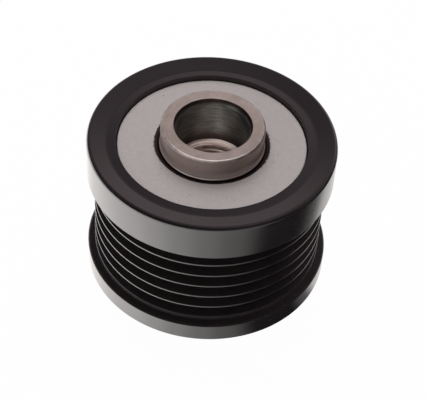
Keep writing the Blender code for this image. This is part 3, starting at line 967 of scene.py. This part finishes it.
# %% Bare turned steel, the cone's painted light and the dirt
# Partly painted light: below the seat a much lighter cut steel stands in for light from above.
cuts = turning_marks(tree, spacing=0.3, round_the_turn=1)[0]
crisp = add(tree, "MapRange", {0: cuts, 1: 0.42, 2: 0.58}, **EASED)
cut_steel_and_painted_light = add(tree, "Mix", {SHARE: crisp, FIRST: paint("#A8938B"), SECOND: paint("#E8D8D0")}, **TWO_COLOURS)
below = add(tree, "MapRange", {0: height, 1: (SEAT_FLOOR + 0.1) * MM, 2: SEAT_FLOOR * MM}, **EASED)
colour = add(tree, "Mix", {SHARE: below, FIRST: colour, SECOND: cut_steel_and_painted_light}, **TWO_COLOURS)
dirt = {SHARE: spots(tree, place, HUB_SPECKS), FIRST: colour, SECOND: paint("#3B3431")}
colour = add(tree, "Mix", dirt, **TWO_COLOURS)
print(steel.name, "has", len(tree.nodes), "nodes with the cone and the dirt")

# %% Bare turned steel, worn edges, painted highlights and gloss
FILM_TOP, FILM_FULL = SEAL_FACE + 2.3, SEAL_FACE + 0.8
FILM_METAL = 0.15
SIDE_POLISH = 0.14
edge_sum = (COLLAR + hub_top - HUB_EDGE) * MM
# The outer edge is partly worn bright and partly a painted highlight, made ragged by the oil noise.
outward = add(tree, "Math", {0: radius, 1: height}, operation="ADD")
outer_edge = add(tree, "MapRange", {0: outward, 1: edge_sum - 0.2 * MM, 2: edge_sum - 0.05 * MM}, **EASED)
# The bead takes the same light colour as a painted highlight, so that its thin line shows brighter.
bead = add(tree, "MapRange", {0: radius, 1: (COLLAR + 0.04) * MM, 2: (BEAD - 0.04) * MM}, **EASED)
rubbed = add(tree, "MapRange", {0: oil, 1: 0.35, 2: 0.6, 3: 0.3, 4: 1}, **EASED)
outer_edge = add(tree, "Math", {0: outer_edge, 1: rubbed}, operation="MULTIPLY")
worn = add(tree, "Math", {0: outer_edge, 1: bead}, operation="MAXIMUM")
film = add(tree, "MapRange", {0: height, 1: FILM_TOP * MM, 2: FILM_FULL * MM}, **EASED)
film = add(tree, "Math", {0: film, 1: on_side}, operation="MULTIPLY")
film = add(tree, "Math", {0: film, 1: worn}, operation="SUBTRACT", use_clamp=True)
colour = add(tree, "Mix", {SHARE: film, FIRST: colour, SECOND: paint("#D6C8C1")}, **TWO_COLOURS)
# The light colour of the edge and the bead: wear on the edge, and a painted highlight on both.
colour = add(tree, "Mix", {SHARE: worn, FIRST: colour, SECOND: paint("#DBD0CB")}, **TWO_COLOURS)
tree.links.new(colour, shader.inputs["Base Color"])
rough = follow(tree, shader, marks, (0.43, 0.55), 0.4, 0.03)
rough = add(tree, "Math", {0: on_side, 1: -SIDE_POLISH, 2: rough}, operation="MULTIPLY_ADD")
tree.links.new(rough, shader.inputs["Roughness"])
tree.links.new(add(tree, "MapRange", {0: film, 3: 1, 4: FILM_METAL}), shader.inputs["Metallic"])
hub.data.materials.append(steel)
print("The hub is bare steel, worn bright on its edges.")

# %% [markdown]
# ### The oiled bore
#
# The shaft's seat is bored with a fine feed and keeps a film of greenish oil. Its colour is darker brown at
# the mouth, and towards the bottom of the seat it is darkened as painted shade. Its marks run round, so a
# light stretches into an upright streak on the back wall. The Anisotropic value does that, with a tangent
# that runs round the Z axis and is turned by a quarter. The oil fills the marks, so they change the colour
# and the gloss and have no relief.

# %% Oiled bore
oiled, tree, shader = new_finish("oiled bore steel", "#8E908F", 1, 0.36, Anisotropic=0.9)
shader.inputs["Anisotropic Rotation"].default_value = 0.25
tree.links.new(add(tree, "Tangent", {}, direction_type="RADIAL", axis="Z"), shader.inputs["Tangent"])
marks, place = turning_marks(tree, spacing=0.3, round_the_turn=1)[:2]
rough = add(tree, "MapRange", {0: marks, 1: NOISE_LOW, 2: NOISE_HIGH, 3: 0.3, 4: 0.4})
tree.links.new(rough, shader.inputs["Roughness"])
lines = turning_marks(tree, spacing=0.3, round_the_turn=3, detail=4)[0]
crisp = add(tree, "MapRange", {0: lines, 1: 0.35, 2: 0.65}, **EASED)
colour = add(tree, "Mix", {SHARE: crisp, FIRST: paint("#8C9390"), SECOND: paint("#B9B9B6")}, **TWO_COLOURS)
height = add(tree, "SeparateXYZ", {0: place}, "Z")
# Painted shade: the seat's colour is darkened towards its bottom, where less light reaches.
deep = add(tree, "MapRange", {0: height, 1: (SEAT_FLOOR + 3.6) * MM, 2: (SEAT_FLOOR + 0.8) * MM}, **EASED)
colour = add(tree, "Mix", {SHARE: deep, FIRST: colour, SECOND: paint("#736C6A")}, **TWO_COLOURS)
# The colour is darker brown at the mouth.
darker_at_mouth = add(tree, "MapRange", {0: height, 1: (hub_top - 1.6) * MM, 2: (hub_top - 0.9) * MM}, **EASED)
colour = add(tree, "Mix", {SHARE: darker_at_mouth, FIRST: colour, SECOND: paint("#665A55")}, **TWO_COLOURS)
tree.links.new(colour, shader.inputs["Base Color"])
hub.data.materials.append(oiled)
for face in hub.data.polygons:
    if face.center.xy.length < (MOUTH + MOUTH_EDGE / 2) * MM and face.center.z > SEAT_FLOOR * MM:
        face.material_index = 1
print(sum(face.material_index for face in hub.data.polygons), "faces of the bore are oiled.")

# %% [markdown]
# ### Matt grey seal case
#
# The case is phosphated sheet steel, which is a soft matt grey like fine chalk. The crystals are too
# fine to see, so their faint mottle is drawn half a millimetre coarse. There are pinpricks of dirt and a
# few dark specks on it, and at both sides of the hub its inner edge is ragged with grease that the lip
# has pushed out.

# %% Grey seal case
case_paint, tree, shader = new_finish("matt grey phosphated seal case", "#A8A09F", 0, 0.55)
place = add(tree, "TexCoord", {}, "Object")
mottle = add(tree, "TexNoise", {"Vector": place, "Scale": every(0.55), "Detail": 4}, "Fac")
relief = add(tree, "Bump", {"Height": mottle, "Strength": 0.15, "Distance": 0.01 * MM})
tree.links.new(relief, shader.inputs["Normal"])
mottle = add(tree, "MapRange", {0: mottle, 1: NOISE_LOW, 2: NOISE_HIGH}, **EASED)
colour = add(tree, "Mix", {SHARE: mottle, FIRST: paint("#A49C9B"), SECOND: paint("#AAA3A2")}, **TWO_COLOURS)
print(case_paint.name, "has", len(tree.nodes), "nodes so far")

# %% Grey seal case, grease at the lip
flat = add(tree, "VectorMath", {0: place, 1: (1, 1, 0)}, operation="MULTIPLY")
reach = add(tree, "VectorMath", {0: flat}, "Value", operation="LENGTH")
smear = add(tree, "TexNoise", {"Vector": place, "Scale": every(0.6), "Detail": 3}, "Fac")
wavy = add(tree, "Math", {0: smear, 1: -1.3 * MM, 2: reach}, operation="MULTIPLY_ADD")
grease = add(tree, "MapRange", {0: wavy, 1: (SEAL_EDGE - 0.34) * MM, 2: (SEAL_EDGE - 0.62) * MM}, **EASED)
across = add(tree, "SeparateXYZ", {0: place}, "X")
aside = add(tree, "Math", {0: across}, operation="ABSOLUTE")
aside = add(tree, "MapRange", {0: aside, 1: 10 * MM, 2: 13 * MM}, **EASED)
grease = add(tree, "Math", {0: grease, 1: aside}, operation="MULTIPLY")
colour = add(tree, "Mix", {SHARE: grease, FIRST: colour, SECOND: paint("#4A403F")}, **TWO_COLOURS)
print("The grease ends at about", SEAL_EDGE + 0.3, "mm from the axis")

# %% Grey seal case, dirt
DISC_SPECKS = (
    (-12.2, 15.2, SEAL_FACE, 0.22),
    (-11.0, -9.3, SEAL_FACE, 0.2),
    (15.2, -2.5, SEAL_FACE, 0.19),
    (14.2, -4.9, SEAL_FACE, 0.17),
    (-16.5, -5.5, SEAL_FACE, 0.12),
    (4.0, -17.5, SEAL_FACE, 0.12),
)
pricks = add(tree, "TexVoronoi", {"Vector": place, "Scale": every(1.4), "Randomness": 1}, "Distance")
pricks = add(tree, "MapRange", {0: pricks, 1: 0.12, 2: 0.05}, **EASED)
patches = add(tree, "TexNoise", {"Vector": place, "Scale": every(3.8), "Detail": 1}, "Fac")
patches = add(tree, "MapRange", {0: patches, 1: 0.5, 2: 0.62, 4: 0.55}, **EASED)
dirt = add(tree, "Math", {0: pricks, 1: patches}, operation="MULTIPLY")
dirt = add(tree, "Math", {0: dirt, 1: spots(tree, place, DISC_SPECKS)}, operation="MAXIMUM")
colour = add(tree, "Mix", {SHARE: dirt, FIRST: colour, SECOND: paint("#3B3230")}, **TWO_COLOURS)
tree.links.new(colour, shader.inputs["Base Color"])
for name in ("rear_seal_case", "front_seal_case"):
    bpy.data.objects[name].data.materials.append(case_paint)
print("Both seal cases are grey, and the seen one has", len(DISC_SPECKS), "specks.")

# %% [markdown]
# ### Nitrile rubber
#
# The lips are moulded from nitrile rubber filled with soot, which is a dull brownish black. The moulding
# is smooth, and grease and dust make patches on it that are a little shinier or duller.

# %% Seal rubber
rubber, tree, shader = new_finish("black nitrile rubber", "#150D0B", 0, 0.75)
shader.inputs["Specular Tint"].default_value = paint("#C8A096")
place = add(tree, "TexCoord", {}, "Object")
patch = add(tree, "TexNoise", {"Vector": place, "Scale": every(2), "Detail": 3}, "Fac")
colour = add(tree, "Mix", {SHARE: patch, FIRST: paint("#0E0807"), SECOND: paint("#170F0D")}, **TWO_COLOURS)
tree.links.new(colour, shader.inputs["Base Color"])
follow(tree, shader, patch, (0.5, 0.75), 0.2, 0.02)
for name in ("rear_lip", "front_lip"):
    bpy.data.objects[name].data.materials.append(rubber)
print("Both lips are black rubber.")

# %% [markdown]
# ### Inside finishes
#
# The cup and the thrust rings are hardened and ground, so their marks run round the axis. The rollers are
# polished to a near mirror with marks that run round each roller, so their noise changes fast along Z and
# slowly across it. The spring strip is tempered to a brownish blue. The cages are nylon filled with short
# glass fibres, which makes a waxy straw colour with streaks, drawn coarser than the fibres are.


# %% Patterns of the inside
def along_axis(tree, along, across):
    """Noise whose spots are so many millimetres long along the Z axis and so many across it."""
    place = add(tree, "TexCoord", {}, "Object")
    stretch = (every(across), every(across), every(along))
    spot = add(tree, "VectorMath", {0: place, 1: stretch}, operation="MULTIPLY")
    return add(tree, "TexNoise", {"Vector": spot, "Scale": 1, "Detail": 4}, "Fac")


def ground(tree):
    """Rings of the grinding wheel, round the Z axis."""
    return turning_marks(tree, spacing=0.08)[0]


def polished(tree):
    """Faint marks that run round each roller."""
    return along_axis(tree, along=0.05, across=2)


def tempered(tree):
    """Clouds of temper colour on the strip."""
    return along_axis(tree, along=0.8, across=0.5)


def fibres(tree):
    """Upright streaks of glass fibre."""
    return along_axis(tree, along=0.6, across=0.09)


print("The rollers' marks have the scale", round(every(0.05)))


# %% Inside finishes
def inner_finish(name, colours, metallic, gloss, pattern, depth, **more):
    """Makes a finish whose colour, roughness and faint relief all follow one pattern."""
    made, tree, shader = new_finish(name, colours[0], metallic, gloss[0], **more)
    share = pattern(tree)
    crisp = add(tree, "MapRange", {0: share, 1: 0.35, 2: 0.65}, **EASED)
    ends = {SHARE: crisp, FIRST: paint(colours[0]), SECOND: paint(colours[1])}
    tree.links.new(add(tree, "Mix", ends, **TWO_COLOURS), shader.inputs["Base Color"])
    follow(tree, shader, share, gloss, 0.3, depth)
    return made


inner = {
    "race_steel": inner_finish(
        "ground bearing steel", ("#BDBBB8", "#CDCBC8"), 1, (0.2, 0.3), ground, 0.003
    ),
    "roller_steel": inner_finish(
        "polished roller steel", ("#CBCAC8", "#D8D7D5"), 1, (0.1, 0.16), polished, 0.001
    ),
    "spring_steel": inner_finish(
        "tempered spring strip", ("#8F8272", "#6E6A70"), 1, (0.26, 0.36), tempered, 0.002
    ),
    "cage_plastic": inner_finish(
        "glass filled nylon", ("#B5A587", "#C6B99D"), 0, (0.42, 0.58), fibres, 0.01, IOR=1.53
    ),
}
for slot, finish in inner.items():
    for piece in made_of[slot]:
        piece.data.materials.append(finish)
    print(len(made_of[slot]), "pieces are finished as", finish.name)

# %% [markdown]
# ## Floor and light
#
# The pulley stands on a white table. The camera sees the table as plain white with a trace of shadow, and
# from below the table is clear, so that the pulley's front end can be looked at.
#
# Glossy rays see the same white table as bright as the flanges mirror it in the photograph: overexposed
# on the left and at the sides, and dark at the front right. The mirrored spot moves round as it moves away
# from the pulley, so the angle that the glow depends on is stretched with the distance. Behind the pulley
# the glow fades to one even level, so that no seam shows where the angle jumps from 180 to -180 degrees.

# %% The table's glow
GLOW_TOP = 2.0
GLOW = ((-180, 1.5), (-80, 1.8), (-62, 2.0), (-35, 1.72), (-24, 1.4), (-12, 1.0), (0, 0.68), (12, 0.42))
GLOW += ((30, 0.04), (50, 0.03), (61, 0.25), (72, 1.2), (180, 1.5))
GLOW_TINT = (1, 0.965, 0.945)
BEHIND = 0.6
BEHIND_FROM = math.radians(128)
FOOT_RADIUS = 31 * MM
ANGLE_STRETCH = 19.3
STRETCH_REACH = 2 * FOOT_RADIUS


def set_stops(node, kind, stops):
    """Gives the colour ramp of a node its stops, which are (position, colour) pairs."""
    ramp = node.color_ramp
    ramp.interpolation = kind
    for _ in stops[2:]:
        ramp.elements.new(0.5)
    for stop, (position, colour) in zip(ramp.elements, stops):
        stop.position = position
        stop.color = (*colour, 1)


white = bpy.data.materials.new("white table")
white.use_nodes = True
tree = white.node_tree
tree.nodes.remove(tree.nodes["Principled BSDF"])
place = add(tree, "TexCoord", {}, "Object")
apart = add(tree, "SeparateXYZ", {0: place}).node.outputs
front = add(tree, "Math", {0: apart["Y"], 1: -1}, operation="MULTIPLY")
angle = add(tree, "Math", {0: apart["X"], 1: front}, operation="ARCTAN2")
away = add(tree, "VectorMath", {0: place}, "Value", operation="LENGTH")
past = {0: away, 1: FOOT_RADIUS, 2: FOOT_RADIUS + STRETCH_REACH, 3: 1, 4: 1 + ANGLE_STRETCH * STRETCH_REACH}
turned_back = add(tree, "Math", {0: angle, 1: add(tree, "MapRange", past)}, operation="DIVIDE")
share = add(tree, "MapRange", {0: turned_back, 1: -math.pi, 2: math.pi})
glow_stops = [(turn / 360 + 0.5, [level / GLOW_TOP * part for part in GLOW_TINT]) for turn, level in GLOW]
glow = add(tree, "ValToRGB", {0: share})
set_stops(glow.node, "EASE", glow_stops)
wide = add(tree, "Math", {0: angle}, operation="ABSOLUTE")
behind = add(tree, "MapRange", {0: wide, 1: BEHIND_FROM, 2: math.pi}, **EASED)
even = [BEHIND / GLOW_TOP * part for part in GLOW_TINT] + [1]
glow = add(tree, "Mix", {SHARE: behind, FIRST: glow, SECOND: even}, **TWO_COLOURS)
print("The table glows up to", GLOW_TOP, "times white")

# %% Table
SHADOW_SHARE = 0.02
TABLE_SIDE = 4
bpy.ops.object.select_all(action="DESELECT")
bpy.ops.mesh.primitive_plane_add(size=TABLE_SIDE)
table = bpy.context.object
table.name = "white_table"
lit = add(tree, "BsdfDiffuse", {"Color": paint("#F3F3F3")})
plain = add(tree, "Emission", {"Color": paint("#FFFFFF"), "Strength": 1})
seen = add(tree, "MixShader", {0: SHADOW_SHARE, 1: plain, 2: lit})
mirrored = add(tree, "Emission", {"Color": glow, "Strength": GLOW_TOP})
path = add(tree, "LightPath", {}).node.outputs
other = add(tree, "MixShader", {0: path["Is Glossy Ray"], 1: lit, 2: mirrored})
direct = add(tree, "Math", {0: path["Is Camera Ray"], 1: path["Is Transmission Ray"]}, operation="MAXIMUM")
both = add(tree, "MixShader", {0: direct, 1: other, 2: seen})
clear = add(tree, "BsdfTransparent", {})
below = add(tree, "MixShader", {0: add(tree, "NewGeometry", {}, "Backfacing"), 1: both, 2: clear})
tree.links.new(below, tree.nodes["Material Output"].inputs[0])
table.data.materials.append(white)
print("The table is", [round(side, 1) for side in table.dimensions], "metres")

# %% [markdown]
# ### Soft lamps
#
# Four square soft lamps light the hub and the seal. In a studio, black cards called flags keep such light
# off a black piece, so that only what it mirrors sets its shade. Light linking does that here: the
# pieces in a lamp's own collection don't receive its light, though they still cast a shadow.

# %% Lamps
LAMP_DISTANCE = 0.6


def lamp(name, azimuth, elevation, size, watts, spared):
    """Adds a square lamp aimed at the pulley. Azimuth 0 is the camera's side, and 90 is the right."""
    turn, rise = math.radians(azimuth), math.radians(elevation)
    way = Vector((math.sin(turn) * math.cos(rise), -math.cos(turn) * math.cos(rise), math.sin(rise)))
    bpy.ops.object.light_add(type="AREA", location=way * LAMP_DISTANCE)
    made = bpy.context.object
    made.name = name
    made.rotation_mode = "QUATERNION"
    made.rotation_quaternion = way.to_track_quat("Z", "Y")
    made.data.size = size
    made.data.energy = watts
    kept_dark = bpy.data.collections.new(name + "_flag")
    for piece in spared:
        kept_dark.objects.link(piece)
    for link in kept_dark.collection_objects:
        link.light_linking.link_state = "EXCLUDE"
    made.light_linking.receiver_collection = kept_dark
    print(name, "gives", watts, "watts")


lamp("overhead_softbox", -165, 80, 0.5, 1.8, (ring,))
lamp("back_softbox", -170, 52, 0.4, 1.15, (ring, hub))
lamp("left_softbox", -54, 34, 0.3, 0.26, (ring,))
lamp("front_softbox", -12, 44, 0.3, 0.17, (ring,))

# %% [markdown]
# ### The room
#
# What the black ring mirrors from above is a dim room, a little pink, brighter low down and towards the
# right, and dark behind the camera and far to the right. The camera itself sees the world as plain white,
# like the table.

# %% Room
SKY = ((0.0, 0.36), (0.36, 0.32), (0.43, 0.34), (0.5, 0.28))
SKY += ((0.6, 0.2), (0.7, 0.15), (0.85, 0.14), (0.95, 0.18))
SKY_TINT = (1, 0.83, 0.87)
SKY_LEAN = 0.75
DARK_SIDE = 0.25
BACK_FULL, BACK_END = -0.5, 0.1
RIGHT_FULL, RIGHT_END = 0.85, 0.45
world = bpy.data.worlds.new("studio")
bpy.context.scene.world = world
world.use_nodes = True
tree = world.node_tree
toward = add(tree, "SeparateXYZ", {0: add(tree, "TexCoord", {}, "Generated")}).node.outputs
sky = add(tree, "ValToRGB", {0: toward["Z"]})
set_stops(sky.node, "LINEAR", [(rise, [level * part for part in SKY_TINT]) for rise, level in SKY])
lean = add(tree, "Math", {0: toward["X"], 1: SKY_LEAN, 2: 1}, operation="MULTIPLY_ADD")
dark_back = add(tree, "MapRange", {0: toward["Y"], 1: BACK_FULL, 2: BACK_END, 3: DARK_SIDE}, **EASED)
dark_right = add(tree, "MapRange", {0: toward["X"], 1: RIGHT_FULL, 2: RIGHT_END, 3: DARK_SIDE}, **EASED)
level = add(tree, "Math", {0: lean, 1: dark_back}, operation="MULTIPLY")
level = add(tree, "Math", {0: level, 1: dark_right}, operation="MULTIPLY")
room = add(tree, "Background", {"Color": sky, "Strength": level})
plain = add(tree, "Background", {"Color": paint("#FFFFFF"), "Strength": 1})
path = add(tree, "LightPath", {}).node.outputs
direct = add(tree, "Math", {0: path["Is Camera Ray"], 1: path["Is Transmission Ray"]}, operation="MAXIMUM")
both = add(tree, "MixShader", {0: direct, 1: room, 2: plain})
tree.links.new(both, tree.nodes["World Output"].inputs[0])
bpy.context.scene.view_settings.view_transform = "Standard"
print("The room is lit, and the view transform is Standard.")
